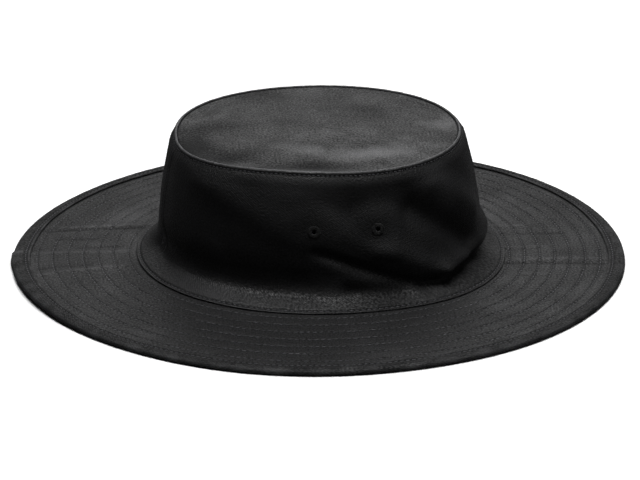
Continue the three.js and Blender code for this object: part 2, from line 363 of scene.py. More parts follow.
def off_round(half_length):
    """How far a half length is from the nearest round of stitches."""
    nearest = min(max(round((half_length - FIRST_ROUND) / ROUND_PITCH), 0), ROUNDS - 1)
    return half_length - FIRST_ROUND - nearest * ROUND_PITCH


def brim_wear_and_highlights(half_length, angle, height, side):
    """Wear and painted light of the brim's outer side: painted highlights on its ridges and a painted
    sheen on a few broad places, and its nap stands up in the valleys and along the rounds of stitches."""
    if side < 0.5:
        return 0
    place = oval_place(half_length, angle, 0)
    wear = rough(place.x, place.y, *BRIM_MOTTLE)
    # Broad patches are a painted sheen, and paler crease ridges a painted highlight.
    for patch in BRIM_SHEEN_PATCHES:
        share = bell(turn_between(angle, patch["angle"]), patch["turn"])
        wear += patch["wear"] * share * bell(half_length - patch["half_length"], patch["spread"])
    for crease, off in creases_near(place, angle):
        share = RIDGE_HIGHLIGHT if crease["lift"] > 0 else VALLEY_NAP
        wear += share * crease["lift"] * bell(off, crease["spread"] * CREASE_HIGHLIGHT_AND_NAP_WIDTH)
    from_back = abs(turn_between(angle, 180))
    nap = blend(ROUND_NAP["back"], ROUND_NAP["elsewhere"], smoothstep(from_back, 15, 60))
    return wear - nap * bell(off_round(half_length), ROUND_NAP["width"])


def brim_place(half_length, angle, height, side=1):
    """Place on the brim, which dips at each round of stitches and puffs up between them."""
    place = oval_place(half_length, angle, height)
    place.z += brim_lift(place, half_length, angle)
    off = off_round(half_length)
    puff = ROUND_PUFF * (1 - math.cos(2 * math.pi * off / ROUND_PITCH)) / 2
    puff -= ROUND_DIP * bell(off, ROUND_DIP_WIDTH)
    puff += rough(place.x, place.y, *BRIM_PUCKER)
    puff += rough(place.x, place.y, *ROUND_PUCKER) * bell(off, ROUND_PUCKER_WIDTH)
    inside = smoothstep(BRIM_EDGE - half_length, 6, 11) * smoothstep(half_length, 100, 104)
    place.z += inside * puff * (height - BRIM_MIDDLE) / (BRIM_CLOTH / 2)
    place.z += inside * rough(place.x, place.y, *BRIM_SLACK)
    return place


# A cut edge stands out by CLOTH_EDGE at most: shares of the way across the cloth and of that reach.
CLOTH_EDGE = 0.3
EDGE_POINTS = ((0.2, 0.7), (0.5, 1.0), (0.8, 0.7))


def cloth_outline(outer, inner):
    """Closed outline of a piece of cloth, as (half length, height, side): its outer line, a rounded
    edge, its inner line back to the start, and the other rounded edge. side is 1 outside, 0 inside."""
    rows = [(*point, 1.0) for point in outer]
    for line, far in ((outer, inner[0]), (inner, outer[0])):
        end, before = Vector(line[-1]), Vector(line[-2])
        out = (end - before).normalized() * CLOTH_EDGE
        for share, reach in EDGE_POINTS:
            side = 1 - share if line is outer else share
            rows.append((*(end.lerp(Vector(far), share) + out * reach), side))
        if line is outer:
            rows += [(*point, 0.0) for point in inner]
    return rows


def go_round(bm, turn):
    """Repeats the first eighth of a piece round +Z until it fills the turn, and joins it up."""
    for doubling in range(3):
        made = bmesh.ops.duplicate(bm, geom=[*bm.verts, *bm.edges, *bm.faces])["geom"]
        bmesh.ops.rotate(
            bm, verts=[item for item in made if isinstance(item, bmesh.types.BMVert)], cent=(0, 0, 0),
            matrix=Matrix.Rotation(math.radians(turn / 8 * 2 ** doubling), 3, "Z"),
        )
    bmesh.ops.remove_doubles(bm, verts=bm.verts, dist=0.001)


def spin_cloth(outline, steps, start=0.0, turn=360.0, closed=True):
    """Spins an outline around +Z on a round block, from a start angle through a turn."""
    bm = bmesh.new()
    side = bm.verts.layers.float.new("side")
    along = bm.verts.layers.float.new("along")
    first = Matrix.Rotation(math.radians(start), 3, "Z")
    corners, reached = [], 0.0
    for index, (half_length, height, which) in enumerate(outline):
        if index:
            reached += math.dist(outline[index - 1][:2], (half_length, height))
        corner = bm.verts.new(first @ Vector((half_length, 0, height)))
        corner[side], corner[along] = which, reached
        corners.append(corner)
    pairs = list(zip(corners, corners[1:]))
    if closed:
        pairs.append((corners[-1], corners[0]))
    edges = [bm.edges.new(pair) for pair in pairs]
    bmesh.ops.spin(
        bm, geom=corners + edges, cent=(0, 0, 0), axis=(0, 0, 1),
        angle=math.radians(turn / 8), steps=steps // 8,
    )
    go_round(bm, turn)
    if turn < 360:
        ends = [edge for edge in bm.edges if edge.is_boundary]
        caps = bmesh.ops.holes_fill(bm, edges=ends, sides=len(outline))["faces"]
        bmesh.ops.triangulate(bm, faces=caps)
    bmesh.ops.recalc_face_normals(bm, faces=bm.faces)
    return bm


def shape_cloth(bm, place, wear=None):
    """Moves every point of a piece from the round block to its real place, and marks its wear and
    painted light: above 0 where it is painted paler and smoother, for rubbed cloth and for painted
    highlights, below 0 where its nap stands up. Thread is outside."""
    if wear:
        bm.verts.layers.float.new("wear_and_highlight")
    side, wear_and_highlight = [bm.verts.layers.float.get(layer) for layer in ("side", "wear_and_highlight")]
    for vert in bm.verts:
        angle = math.degrees(math.atan2(vert.co.y, vert.co.x))
        where = (vert.co.xy.length, angle, vert.co.z, vert[side] if side is not None else 1)
        if wear:
            vert[wear_and_highlight] = wear(*where)
        vert.co = place(*where) * MM


def lay_flat_uv(bm):
    """UV in metres for a piece cut from flat cloth: its plan."""
    uv = bm.loops.layers.uv.new("UVMap")
    for face in bm.faces:
        for loop in face.loops:
            loop[uv].uv = loop.vert.co.xy


def finish_piece(name, bm, material, slot, *nodes):
    """Makes the object, on the hat's one body, with smooth faces."""
    for face in bm.faces:
        face.smooth = True
    for layer in ("side", "along"):
        if layer in bm.verts.layers.float:
            bm.verts.layers.float.remove(bm.verts.layers.float[layer])
    piece = bpy.data.objects.new(name, bpy.data.meshes.new(name))
    bm.to_mesh(piece.data)
    bm.free()
    piece.data.materials.append(material)
    bpy.context.scene.collection.objects.link(piece)
    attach(piece, "root")
    if nodes:
        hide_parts(*nodes)
    return piece


TWILL_ANGLE = 52
TWILL_SHARE = 0.16
YARN = 1.15
DYE_CLOUDS = 22
# The pale grey mixed in where the cloth is rubbed and where a highlight is painted on it.
WORN_AND_HIGHLIGHT_COLOUR = "606062"
SHEEN_COLOUR = "c8c8cc"
RUBBED_SMOOTHER = 0.3


def woven_cotton(name, colour, twill, relief, roughness):
    """Black cotton drill, piece-dyed: matt, with diagonal twill lines, uneven yarn and faint clouds
    in the dye, paler and smoother where rubbed or where a highlight is painted, and duller where its nap
    stands up. A real twill of 0.8 mm from line to line is too fine to show from the camera, so it is
    drawn at the one given."""
    material, tree = new_material(name)
    uv = add(tree, "UVMap", uv_map="UVMap")
    per_mm = (1 / MM, 1 / MM, 1)
    straight = add(tree, "Mapping", {"Scale": per_mm}, {"Vector": uv})
    slanted = add(tree, "Mapping", {"Scale": per_mm, "Rotation": (0, 0, math.radians(TWILL_ANGLE))},
                  {"Vector": uv})
    lines = add(tree, "TexWave", {
        "Scale": 2 * math.pi / (20 * twill), "Distortion": 0.7, "Detail": 2, "Detail Scale": 2.5,
        "Detail Roughness": 0.6,
    }, {"Vector": slanted}, bands_direction="X")
    yarn = add(tree, "TexNoise", {"Scale": 1 / YARN, "Detail": 2, "Roughness": 0.55},
               {"Vector": straight}, noise_dimensions="2D")
    clouds = add(tree, "TexNoise", {"Scale": 1 / DYE_CLOUDS, "Detail": 3},
                 {"Vector": straight}, noise_dimensions="2D")
    surface = add(tree, "Math", {1: TWILL_SHARE}, {
        0: lines.outputs["Fac"], 2: yarn,
    }, operation="MULTIPLY_ADD")

    from_surface, from_clouds = {"From Min": 0.35, "From Max": 0.75}, {"From Min": 0.3, "From Max": 0.7}
    shade = add(tree, "MapRange", {**from_surface, "To Min": 0.4, "To Max": 1.7}, {"Value": surface})
    dye = add(tree, "MapRange", {**from_clouds, "To Min": 0.88, "To Max": 1.14}, {"Value": clouds})
    depth = add(tree, "Math", links={0: shade, 1: dye}, operation="MULTIPLY")
    dyed = add(tree, "VectorMath", {0: srgb(colour)[:3]}, {"Scale": depth}, operation="SCALE")
    # Above 0 this paints the cloth paler and smoother: rubbed cloth and painted highlights.
    wear_and_highlight = add(tree, "Attribute", attribute_name="wear_and_highlight")
    worn_and_highlighted = add(tree, "Mix", {"B": srgb(WORN_AND_HIGHLIGHT_COLOUR)}, {
        "Factor": wear_and_highlight.outputs["Fac"], "A": dyed,
    }, data_type="RGBA")

    nap = add(tree, "MapRange", {**from_surface, "To Min": roughness + 0.28, "To Max": roughness - 0.24},
              {"Value": surface})
    cloudy = add(tree, "MapRange", {**from_clouds, "To Min": 0.06, "To Max": -0.06}, {"Value": clouds})
    uneven = add(tree, "Math", links={0: nap, 1: cloudy}, operation="ADD")
    matt = add(tree, "Math", {1: -RUBBED_SMOOTHER}, {
        0: wear_and_highlight.outputs["Fac"], 2: uneven,
    }, operation="MULTIPLY_ADD")
    bump = add(tree, "Bump", {"Strength": 1.0, "Distance": relief * MM}, {"Height": surface})
    shader = add(tree, "BsdfPrincipled", {
        "Specular IOR Level": 0.5, "Sheen Weight": 0.05, "Sheen Roughness": 0.4,
        "Sheen Tint": srgb(SHEEN_COLOUR),
    }, {"Base Color": worn_and_highlighted.outputs["Result"], "Roughness": matt, "Normal": bump})
    add(tree, "OutputMaterial", links={"Surface": shader})
    return material


# An oval round is this share of a circle of its half length, and this share of each stitch shows
# before its thread dips into the cloth.
OVAL_SHARE = 0.94
STITCH_SHOWN = 0.74
BEAD_SEGMENTS = (5, 4)


def repeat_round(bm, bead, count, turn, segments):
    """Adds a small bead of thread, and repeats it to this count over a turn round +Z."""
    made = bmesh.ops.create_uvsphere(
        bm, u_segments=segments[0], v_segments=segments[1], radius=1, matrix=bead,
    )["verts"]
    geom = dict.fromkeys(item for vert in made for item in (vert, *vert.link_edges, *vert.link_faces))
    bmesh.ops.spin(
        bm, geom=list(geom), cent=(0, 0, 0), axis=(0, 0, 1), angle=turn * (count - 1) / count,
        steps=count - 1, use_duplicate=True,
    )


def sew_round(bm, half_length, height, pitch):
    """Adds the first eighth of a round of stitches."""
    count = round(math.tau * half_length * OVAL_SHARE / pitch / 8)
    half_stitch = math.pi * half_length / count / 8 * STITCH_SHOWN
    bead = Matrix.Diagonal((THREAD_RADIUS, half_stitch, THREAD_RADIUS, 1))
    bead = Matrix.Translation((half_length, 0, height)) @ bead
    repeat_round(bm, bead, count, math.tau / 8, BEAD_SEGMENTS)


PLIES_PER_MM = 1.4
PLY_RELIEF = 0.1 * MM


def sewing_thread(name, colour, roughness=0.5):
    """Black polyester sewing thread, twisted from three plies: smooth and a little glossy."""
    material, tree = new_material(name)
    place = add(tree, "TexCoord")
    plies = add(tree, "TexNoise", {"Scale": PLIES_PER_MM / MM, "Detail": 2}, {
        "Vector": place.outputs["Object"],
    })
    shade = add(tree, "MapRange", {"To Min": 0.7, "To Max": 1.5}, {"Value": plies})
    dyed = add(tree, "VectorMath", {0: srgb(colour)[:3]}, {"Scale": shade}, operation="SCALE")
    bump = add(tree, "Bump", {"Strength": 0.6, "Distance": PLY_RELIEF}, {"Height": plies})
    shader = add(tree, "BsdfPrincipled", {
        "Roughness": roughness, "Specular IOR Level": 0.5, "Sheen Weight": 0.1,
    }, {"Base Color": dyed, "Normal": bump})
    add(tree, "OutputMaterial", links={"Surface": shader})
    return material


# The stitches' thread is dark grey, lighter than black thread: its sheen is painted into its colour.
thread = sewing_thread("polyester_thread_black", "4c4c50")
brim_drill = woven_cotton("cotton_drill_black_brim", "111112", twill=1.1, relief=0.5, roughness=0.66)

rounds = [FIRST_ROUND + number * ROUND_PITCH for number in range(ROUNDS)]


def brim_line(height, inside, by_round, outside):
    """One side of the brim from its inner edge out, with rings set closely about each round."""
    lines = [half_length + off for half_length in rounds for off in (*by_round, ROUND_PITCH / 2)]
    lines = [LIP_HALF_LENGTH, *inside, *lines, *outside, BRIM_EDGE]
    return [(half_length, height) for half_length in lines]


bm = spin_cloth(
    cloth_outline(
        brim_line(
            BRIM_TOP, inside=(100, 102), by_round=(-2.7, -1.6, -0.9, -0.4, 0, 0.4, 0.9, 1.6, 2.7),
            outside=(164.5, 167, 168.5),
        ),
        brim_line(BRIM_BOTTOM, inside=(102,), by_round=(-1.4, -0.5, 0.5, 1.4), outside=(165,))[::-1],
    ),
    BRIM_STEPS,
)
shape_cloth(bm, brim_place, brim_wear_and_highlights)
lay_flat_uv(bm)
brim = finish_piece("brim_cloth", bm, brim_drill, "brim_drill", "brim")

bm = bmesh.new()
for half_length in rounds:
    for height in (BRIM_TOP + THREAD_PROUD, BRIM_BOTTOM - THREAD_PROUD):
        sew_round(bm, half_length, height, STITCH_LENGTH)
go_round(bm, 360)
shape_cloth(bm, lambda half_length, angle, height, side: brim_place(
    half_length + rough(angle, 0, *ROUND_WANDER, half_length), angle, height,
))
brim_stitches = finish_piece("brim_stitches", bm, thread, "thread")

# Binding: a strip of black cotton tape folded over the edge of the brim, stitched through all its
# layers near its inner edge, its ends lapped at the back.
TAPE_TOP = 2 * TAPE_CLOTH + 2 * GAP + BRIM_CLOTH
TAPE_INNER = RIM_HALF_LENGTH - 8
TAPE_ROW = TAPE_INNER + 2.0
TAPE_ROW_WIDTH = 0.8
TAPE_ROW_DEPTH = {"top": 0.3, "bottom": 0.15}
TAPE_STITCH = 3.0
TAPE_THREAD_SUNK = 0.12
TAPE_RADIUS = 165
TAPE_STEPS = 896
TAPE_PER_DEGREE = 2.8

# The tape's upper end lies over its lower one, and its rise fades out within a few degrees.
TAPE_LAP_ANGLE = 176.5
TAPE_LAP_RISE = 0.8
TAPE_LAP_REACH = 0.7

# The tape takes in a little more of the brim at its front and back.
TAPE_WIDER = table(
    "angle turn by",
    (180, 28, 2.2),
    (0, 24, 1.5),
)
TAPE_PUCKER = (0.12, 6, 2.2)
TAPE_WANDER = (0.35, 28, 5.5)
TAPE_MOTTLE = (0.25, 7, 6.9)

# Wear and painted light: the tape is painted paler along its inner edge and its fold, partly as rubbed
#  cloth and partly as a painted highlight, and its nap stands up along its row.
TAPE_WEAR_AND_HIGHLIGHTS = table(
    "out spread wear",
    (0.5, 0.6, 0.16),
    (2.0, 0.8, -0.7),
    (6.8, 0.9, 0.2),
)
# Its lap is painted paler too: rubbed cloth and a painted highlight.
TAPE_LAP_WEAR_AND_HIGHLIGHT = {"turn": 0.9, "spread": 1.3, "wear": 0.3}

# Section from the inner edge: over the top as drops from it, back underneath as heights, and the
# inside of the fold from below as heights.
TAPE_OVER = [
    (0, 0.25), (0.5, 0.05), (1.1, 0.1), (1.6, 0.15), (2.0, 0.2), (2.5, 0.15), (3.2, 0.05), (4.2, 0.05),
    (5.2, 0.3), (6.1, 0.6), (7.0, 1.1), (7.65, 1.8), (7.9, 2.75),
]
TAPE_UNDER = [
    (8.0, 0.75), (7.75, 0.3), (7.1, 0.05), (5.6, 0), (4.4, 0), (3.2, 0), (2.5, 0.05), (2.0, 0.1),
    (1.6, 0.05), (0.8, 0), (0, 0.1),
]
TAPE_INSIDE = [
    (0, TAPE_CLOTH), (4, TAPE_CLOTH), (6.9, TAPE_CLOTH), (6.5, TAPE_CLOTH + 0.9),
    (5.4, TAPE_TOP - TAPE_CLOTH - 0.25), (4, TAPE_TOP - TAPE_CLOTH), (0, TAPE_TOP - TAPE_CLOTH),
]

tape_cotton = woven_cotton("cotton_tape_black", "0d0d0e", twill=1.1, relief=0.45, roughness=0.8)


def tape_place(half_length, angle, height, side):
    """Place on the tape: its row of stitches, its lap and its unsteady inner edge."""
    top, around = height > TAPE_TOP / 2, angle * TAPE_PER_DEGREE
    rise = reach = 0
    if side > 0.4:
        past = turn_between(angle, TAPE_LAP_ANGLE)
        lap = smoothstep(past, -0.1, 0.35) * (1 - smoothstep(past, 3, 9))
        row = bell(half_length - TAPE_ROW, TAPE_ROW_WIDTH)
        if top:
            rise = lap * TAPE_LAP_RISE - TAPE_ROW_DEPTH["top"] * row
            rise += rough(around, half_length, *TAPE_PUCKER)
        else:
            rise = TAPE_ROW_DEPTH["bottom"] * row
        if half_length > RIM_HALF_LENGTH - 2:
            reach = lap * TAPE_LAP_REACH
    reach += rough(around, 0, *TAPE_WANDER) * (1 - smoothstep(half_length, TAPE_INNER, TAPE_INNER + 3))
    wider = sum(row["by"] * bell(turn_between(angle, row["angle"]), row["turn"]) for row in TAPE_WIDER)
    reach -= wider * (1 - smoothstep(half_length, TAPE_INNER, RIM_HALF_LENGTH - 1))
    return oval_place(half_length + reach, angle, height + rise + rim_lift(half_length, angle))


def tape_wear_and_highlights(half_length, angle, height, side):
    """Wear and painted highlights of the tape's outer side, except underneath."""
    if side < 0.5 or height < 1:
        return 0
    wear = rough(angle * TAPE_PER_DEGREE, half_length, *TAPE_MOTTLE)
    for row in TAPE_WEAR_AND_HIGHLIGHTS:
        wear += row["wear"] * bell(half_length - TAPE_INNER - row["out"], row["spread"])
    past = turn_between(angle, TAPE_LAP_ANGLE + TAPE_LAP_WEAR_AND_HIGHLIGHT["turn"])
    return wear + TAPE_LAP_WEAR_AND_HIGHLIGHT["wear"] * bell(past, TAPE_LAP_WEAR_AND_HIGHLIGHT["spread"])


outer = [(TAPE_INNER + out, TAPE_TOP - drop) for out, drop in TAPE_OVER]
outer += [(TAPE_INNER + out, height) for out, height in TAPE_UNDER]
inner = [(TAPE_INNER + out, height) for out, height in TAPE_INSIDE]
bm = spin_cloth(cloth_outline(outer, inner), TAPE_STEPS)


def lay_round_uv(bm, radius, start):
    """UV in metres for a piece cut as a strip: around it from a start angle, and along its outline."""
    uv = bm.loops.layers.uv.new("UVMap")
    along = bm.verts.layers.float["along"]
    for face in bm.faces:
        middle = face.calc_center_median()
        around = (math.degrees(math.atan2(middle.y, middle.x)) - start) % 360
        for loop in face.loops:
            angle = math.degrees(math.atan2(loop.vert.co.y, loop.vert.co.x))
            turn = around + turn_between(angle, around + start)
            loop[uv].uv = (math.radians(turn) * radius * MM, loop.vert[along] * MM)


lay_round_uv(bm, TAPE_RADIUS, TAPE_LAP_ANGLE)
shape_cloth(bm, tape_place, tape_wear_and_highlights)
binding = finish_piece("binding_tape", bm, tape_cotton, "binding_tape", "brim_binding")

bm = bmesh.new()
sew_round(bm, TAPE_ROW, TAPE_TOP - TAPE_THREAD_SUNK, TAPE_STITCH)
sew_round(bm, TAPE_ROW, TAPE_THREAD_SUNK, TAPE_STITCH)
go_round(bm, 360)
shape_cloth(bm, tape_place)
binding_stitches = finish_piece("binding_stitches", bm, thread, "thread")

# Side panels: two curved strips of drill, joined by a felled seam at the back and one at the
# front. They stand on the brim, slump a little, and flare out into the lip that is stitched to it.
CROWN_CLOTH = 1.2
CROWN_FORWARD = 1.2
CROWN_LEAN = 1.8
CROWN_TWIST = 5
CROWN_HEIGHT = 76
BAND_RADIUS = 82
TIP_HALF_LENGTH = 77.5
PANEL_STEPS = 360
BACK_SEAM, FRONT_SEAM = CROWN_TWIST - 180, CROWN_TWIST
SEAM_GAP = 0.1
FELL_WIDTH = 8.5
FELL_RISE = 0.55
FELL_EDGE = 0.55
FELL_ROWS = table("at dip spread", (1.5, 0.4, 0.6), (7.3, 0.4, 0.7))
FELL_STITCH = 2.9
FELL_STITCH_SHOWN = 0.86
FELL_PUCKER = (0.2, 4.5)
TIP_ROW = {"half_length": 79.7, "height": 74.5}
TIP_STITCH = 2.35
GATHER_PITCH = 3.1
GATHER_DRIFT = (2.2, 11)
GATHER_STRENGTH = (0.6, 17, 2.9)
GATHER_DEPTH = 0.16
LIP_STARTS = 94
LIP_ROW = 101.8
LIP_ROW_DEPTH = 0.6
LIP_STITCH = 3.0
LIP_THREAD_HEIGHT = 4.3
LIP_THINNING = 0.55
LIP_UNEVEN = (0.14, 7, 6.1)
BAND_SLACK = (0.35, 14, 1.7)
CREST_UNEVEN = (0.12, 3.5, 7.7)
CREST_MOTTLE = (0.3, 9, 1.2)
BAND_MOTTLE = (0.08, 15, 3.1)

# Wear and painted light: the band is painted paler along its rolled crest and the edge of its lip, partly
# as
#  rubbed cloth and partly as a painted highlight, is rubbed along both edges of a fell, and its nap stands
#  up along its rows of stitches.
CREST_WEAR_AND_HIGHLIGHT = 0.62
LIP_EDGE_WEAR_AND_HIGHLIGHT = 0.08
FELL_EDGE_WEAR = 0.14
TIP_ROW_NAP = 0.9
LIP_ROW_NAP = 1.0
ROW_NAP_WIDTH = 0.6

# Outer line as (half length, height). BAND_TOP runs from inside the tip seam over the rolled edge
# and takes the place of the start of BAND_LINE, which goes on down the wall and out to the lip.
BAND_TOP = [
    (75.2, 73.9), (76.4, 73.95), (77.1, 74.1), (77.5, 74.6), (77.55, 75.2), (77.65, 75.8), (77.85, 76.25),
    (78.2, 76.5), (78.6, 76.45), (79.0, 76.2), (79.4, 75.8), (79.65, 75.35), (79.7, 74.95), (79.58, 74.6),
    (79.75, 74.2), (80.1, 73.8), (80.6, 73.3), (81.0, 72.7),
]
BAND_LINE = [
    (75.0, 74.4), (77.5, 74.4), (79.8, 73.8), (81.8, 71.4), (83.2, 66.6), (84.9, 59.0), (86.8, 49.0),
    (88.8, 37.0), (90.2, 25.0), (91.2, 17.0), (92.8, 11.5), (95.6, 7.6), (99.4, 5.2), (103.4, 4.1),
]

# BAND_LINE is followed from WALL_TOP down, and with closer points from FINE_LIP out.
WALL_TOP = 71.9
FINE_LIP = 99.4

# Where the top edge sags (rise < 0) or stands (rise > 0), fading down the band.
CROWN_EDGE = table(
    "angle rise spread",
    (-165, -1.6, 22),
    (-110, 1.6, 26),
    (-62, -0.6, 24),
    (90, 0.9, 55),
)

# Folds of the right side: a ridge (depth > 0) or a valley (depth < 0) along a line from its first
# angle and height to its second. Those at the front run into the front seam and die out past it.
BAND_FOLDS = table(
    "angles heights depth spread",
    ((-170, -102), (10, 11), -4.8, 14),  # rear tuck
    ((-142, -106), (70, 46), 2.3, 10),  # rear ridge
    ((-88, -62), (56, 60), -1.7, 10),  # upper hollow
    ((-48, -24), (64, 40), 2.0, 8),  # front ridge
    ((-58, -30), (52, 22), -4.2, 7),  # front hollow
    ((-95, -72), (49, 38), 1.6, 9),  # upper roll
    ((-72, -50), (35, 15), 3.4, 7.5),  # lower roll
    ((-95, -60), (34, 11), -2.7, 2.9),  # crease below
    ((-92, -74), (28, 10), 0.5, 5),  # second roll
    ((-84, -66), (9.5, 8), -2.6, 5),  # middle tuck
    ((-56, 16), (8.5, 13.4), -5.6, 4.6),  # front tuck
    ((-48, 16), (15.5, 21.9), 3.2, 5),  # front overhang
)
FOLDS_DIE_OUT = (-5, 14)

# Patches of the right side with a painted highlight, paler and smoother (wear > 0), or made rougher and
#  duller (wear < 0).
BAND_HIGHLIGHT_AND_DULL_PATCHES = table(
    "angle height wide tall wear",
    (-97, 68, 20, 7, 0.16),
    (-40, 66, 11, 9, 0.16),
    (-106, 28, 14, 10, -1.0),
    (-84, 24, 12, 7, -1.2),
    (-73, 11, 15, 8, -1.1),
    (-34, 8, 24, 5, -1.3),
    (-130, 5, 34, 4, 0.12),
)

EYELET_HEIGHT = 45.5
EYELET_CUT = 2.3
EYELET_STIFFENS = (3.5, 18)
EYELETS = table(
    "name angle",
    ("eyelet_right_rear", -95.5),
    ("eyelet_right_front", -73),
    ("eyelet_left_rear", 106),
    ("eyelet_left_front", 83.5),
)


def smooth_line(points, spacing):
    """Evenly spaced points on a smooth curve through a few."""
    curve = bpy.data.curves.new("line", "CURVE")
    curve.dimensions = "3D"
    curve.resolution_u = 24
    spline = curve.splines.new("BEZIER")
    spline.bezier_points.add(len(points) - 1)
    for knot, point in zip(spline.bezier_points, points):
        knot.co = (*point, 0)
        knot.handle_left_type = knot.handle_right_type = "AUTO"
    holder = bpy.data.objects.new("line", curve)
    bpy.context.scene.collection.objects.link(holder)
    bpy.context.view_layer.update()
    fine = [vert.co.xy.copy() for vert in holder.to_mesh().vertices]
    holder.to_mesh_clear()
    bpy.data.objects.remove(holder)
    bpy.data.curves.remove(curve)
    reached = [0.0]
    for before, after in zip(fine, fine[1:]):
        reached.append(reached[-1] + (after - before).length)
    count = max(2, round(reached[-1] / spacing))
    line, index = [], 0
    for number in range(count + 1):
        wanted = reached[-1] * number / count
        while index < len(fine) - 2 and reached[index + 1] < wanted:
            index += 1
        share = (wanted - reached[index]) / max(reached[index + 1] - reached[index], 1e-9)
        line.append(tuple(fine[index].lerp(fine[index + 1], min(share, 1))))
    return line


def inner_line(line, thickness):
    """The other side of a cloth whose outer side follows a line."""
    moved = []
    for index, point in enumerate(line):
        before, after = line[max(index - 1, 0)], line[min(index + 1, len(line) - 1)]
        run = (Vector(after) - Vector(before)).normalized()
        moved.append((point[0] + run.y * thickness, point[1] - run.x * thickness))
    return moved


def on_band(angle, height):
    """Place on the flattened-out band, in millimetres around and up."""
    return Vector((math.radians(angle) * BAND_RADIUS, height))


for fold in BAND_FOLDS:
    turns = (0, fold["angles"][1] - fold["angles"][0])
    fold["ends"] = [on_band(*ends) for ends in zip(turns, fold["heights"])]


def fold_depth(angle, height):
    """How far the folds move the band out of its plain oval."""
    depth = 0.0
    for fold in BAND_FOLDS:
        turned = turn_between(angle, fold["angles"][0])
        if -30 < turned < 90:
            off = from_line(on_band(turned, height), *fold["ends"])
            depth += fold["depth"] * bell(off, fold["spread"])
    if abs(angle) < 40:
        depth *= 1 - smoothstep(angle, *FOLDS_DIE_OUT)
    return depth * smoothstep(height, 4.5, 9) * smoothstep(CROWN_HEIGHT - height, 2, 12)


def band_offset(angle, height):
    """Folds of the band, evened out where an eyelet stiffens the cloth."""
    offset = fold_depth(angle, height)
    for eyelet in EYELETS:
        away = on_band(turn_between(angle, eyelet["angle"]), height - EYELET_HEIGHT).length
        if away < EYELET_STIFFENS[1]:
            stiff = 1 - smoothstep(away, *EYELET_STIFFENS)
            offset = blend(offset, fold_depth(eyelet["angle"], EYELET_HEIGHT), stiff)
    return offset


def crown_place(half_length, angle, height):
    """Place on the crown, which leans back a little and whose top edge sags here and there."""
    place = oval_place(half_length, angle, height)
    edge = 0
    for row in CROWN_EDGE:
        edge += row["rise"] * bell(turn_between(angle, row["angle"]), row["spread"])
    place.x += CROWN_FORWARD - CROWN_LEAN * height / CROWN_HEIGHT
    place.z += edge * smoothstep(height, 20, 70) * min(1, half_length / TIP_HALF_LENGTH) ** 2
    place.z += lip_rise(angle) * (1 - smoothstep(height, 8, 50))
    return place


def fell(angle, height):
    """Rise of the felled seams, whose lap starts at each seam and goes on for its width."""
    rise = 0.0
    for seam in (BACK_SEAM, FRONT_SEAM):
        past = math.radians(turn_between(angle, seam)) * BAND_RADIUS
        if 0 <= past < FELL_WIDTH + 2:
            lap = blend(FELL_EDGE, 1, smoothstep(past, 0, 0.9))
            lap *= 1 - smoothstep(past, FELL_WIDTH, FELL_WIDTH + 1.8)
            dips = sum(row["dip"] * bell(past - row["at"], row["spread"]) for row in FELL_ROWS)
            pucker = rough(past, height, *FELL_PUCKER, 8.8 + seam)
            rise += lap * (FELL_RISE - dips + pucker)
    return rise * smoothstep(height, 4, 9) * blend(1, 0.3, smoothstep(height, 72, 74.5))


def gathers(around, seed):
    """Small pulls, between -1 and 1, where the tip seam takes in its cloth every few millimetres."""
    return math.sin(around / GATHER_PITCH * math.tau + rough(around, 0, *GATHER_DRIFT, seed))


def band_place(half_length, angle, height, side):
    """Place on the band: its folds, its seams, the pull of the tip seam and the row in its lip."""
    around = math.radians(angle) * BAND_RADIUS
    slack = smoothstep(height, 8, 16) * smoothstep(74 - height, 0, 10)
    offset = band_offset(angle, height) + slack * rough(around, height, *BAND_SLACK)
    below = TIP_ROW["height"] - height
    if -1.5 < below < 9:
        pull = gathers(around, 4.4) * (0.6 + rough(around, 0, *GATHER_STRENGTH))
        offset += GATHER_DEPTH * pull * smoothstep(below, -1.5, 1) * (1 - smoothstep(below, 2, 8))
    if side > 0.5:
        offset += fell(angle, height)
    place = crown_place(half_length + offset, angle, height)
    if half_length > LIP_STARTS:
        place.z += rough(around, half_length, *LIP_UNEVEN)
        if side > 0.5:
            place.z -= LIP_ROW_DEPTH * bell(half_length - LIP_ROW, 0.5)
    if below < 0.4:
        place.z += rough(around, 0, *CREST_UNEVEN)
    return place


def band_wear_and_highlights(half_length, angle, height, side):
    """Wear and painted highlights of the band's outer side."""
    if side < 0.5:
        return 0
    around = math.radians(angle) * BAND_RADIUS
    wear = rough(around, height, *BAND_MOTTLE)
    wear -= TIP_ROW_NAP * bell(height - TIP_ROW["height"], ROW_NAP_WIDTH)
    # The rolled crest and the lip's edge are painted paler: rubbed cloth and a painted highlight.
    if height > 74.7:
        wear += smoothstep(height, 75.8, 76.3) * (CREST_WEAR_AND_HIGHLIGHT + rough(around, 0, *CREST_MOTTLE))
    elif half_length > LIP_STARTS:
        wear += LIP_EDGE_WEAR_AND_HIGHLIGHT * smoothstep(half_length, 102.6, 103.2)
        wear -= LIP_ROW_NAP * bell(half_length - LIP_ROW, ROW_NAP_WIDTH)
    for patch in BAND_HIGHLIGHT_AND_DULL_PATCHES:
        off = on_band(turn_between(angle, patch["angle"]), height - patch["height"])
        wear += patch["wear"] * bell(math.hypot(off.x / patch["wide"], off.y / patch["tall"]), 1)
    for seam in (BACK_SEAM, FRONT_SEAM):
        past = math.radians(turn_between(angle, seam)) * BAND_RADIUS
        wear += FELL_EDGE_WEAR * (bell(past, 0.8) + bell(past - FELL_WIDTH, 1.0))
    return wear


crown_drill = woven_cotton("cotton_drill_black_crown", "111112", twill=0.9, relief=0.34, roughness=0.6)

